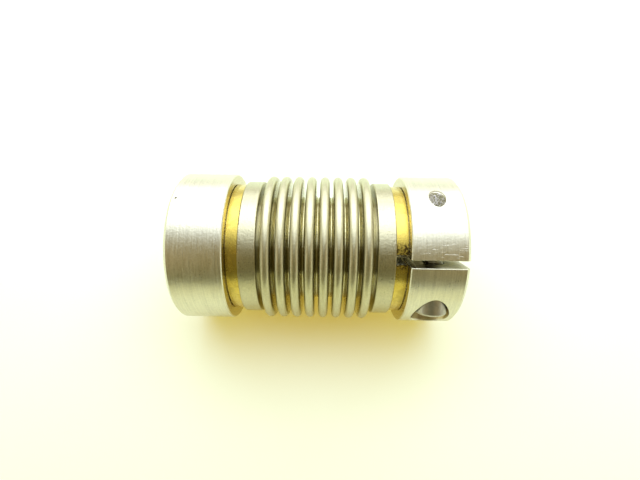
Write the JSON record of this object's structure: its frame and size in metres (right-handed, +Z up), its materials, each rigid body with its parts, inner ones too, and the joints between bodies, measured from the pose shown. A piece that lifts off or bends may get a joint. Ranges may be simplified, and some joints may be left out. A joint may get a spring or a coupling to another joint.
{
  "type": "metal bellows coupling",
  "caption": "Metal bellows shaft coupling: a thin convoluted steel tube joins clamping hubs, each split along a slit and drawn closed on its shaft by a socket head cap screw.",
  "frame": {"origin": "on the coupling's axis, midway between the end faces, where its centre of mass lies", "axes": "+X along the axis, from the left end to the right end; +Z up as the coupling lies on its hubs; the right hub's slit opens upwards on the -Y side"},
  "size_m": [0.0722, 0.0415, 0.04],
  "materials": {
    "hub_aluminium": "fine turned, satin",
    "neck_brass": "polished",
    "collar_steel": "fine brushed",
    "bellows_steel": "satin",
    "screw_steel": "bright"
  },
  "bodies": {
    "left_end": {"left_hub": "hub_aluminium", "left_neck_sleeve": "neck_brass", "left_collar": "collar_steel"},
    "outer_ply": {"bellows_outer_ply": "bellows_steel"},
    "inner_ply": {"bellows_inner_ply": "bellows_steel"},
    "right_end": {"right_hub": "hub_aluminium", "right_neck_sleeve": "neck_brass", "right_collar": "collar_steel"},
    "left_screw": {"left_clamp_screw": "screw_steel"},
    "right_screw": {"right_clamp_screw": "screw_steel"}
  },
  "joints": [
    {"name": "tilt_about_y", "type": "hinge", "parent": "left_end", "child": "outer_ply", "pos_m": [0, 0, 0], "axis": [0, 1, 0], "range_deg": [-1.5, 1.5], "stiffness_Nm_per_rad": 5.7, "deforming": ["bellows_outer_ply", "bellows_inner_ply"]},
    {"name": "axial_travel", "type": "slide", "parent": "outer_ply", "child": "inner_ply", "axis": [1, 0, 0], "range_m": [-0.001, 0.001], "stiffness_N_per_m": 40000, "deforming": ["bellows_outer_ply", "bellows_inner_ply"]},
    {"name": "tilt_about_z", "type": "hinge", "parent": "inner_ply", "child": "right_end", "pos_m": [0, 0, 0], "axis": [0, 0, 1], "range_deg": [-1.5, 1.5], "stiffness_Nm_per_rad": 5.7, "deforming": ["bellows_outer_ply", "bellows_inner_ply"]},
    {"name": "left_screw_turn", "type": "hinge", "parent": "left_end", "child": "left_screw", "pos_m": [-0.02919, 0.01188, -0.00529], "axis": [0, -0.4067, -0.9135], "range_deg": [0, 720]},
    {"name": "right_screw_turn", "type": "hinge", "parent": "right_end", "child": "right_screw", "pos_m": [0.02919, -0.00836, 0.00996], "axis": [0, -0.766, -0.6428], "range_deg": [0, 720]}
  ]
}
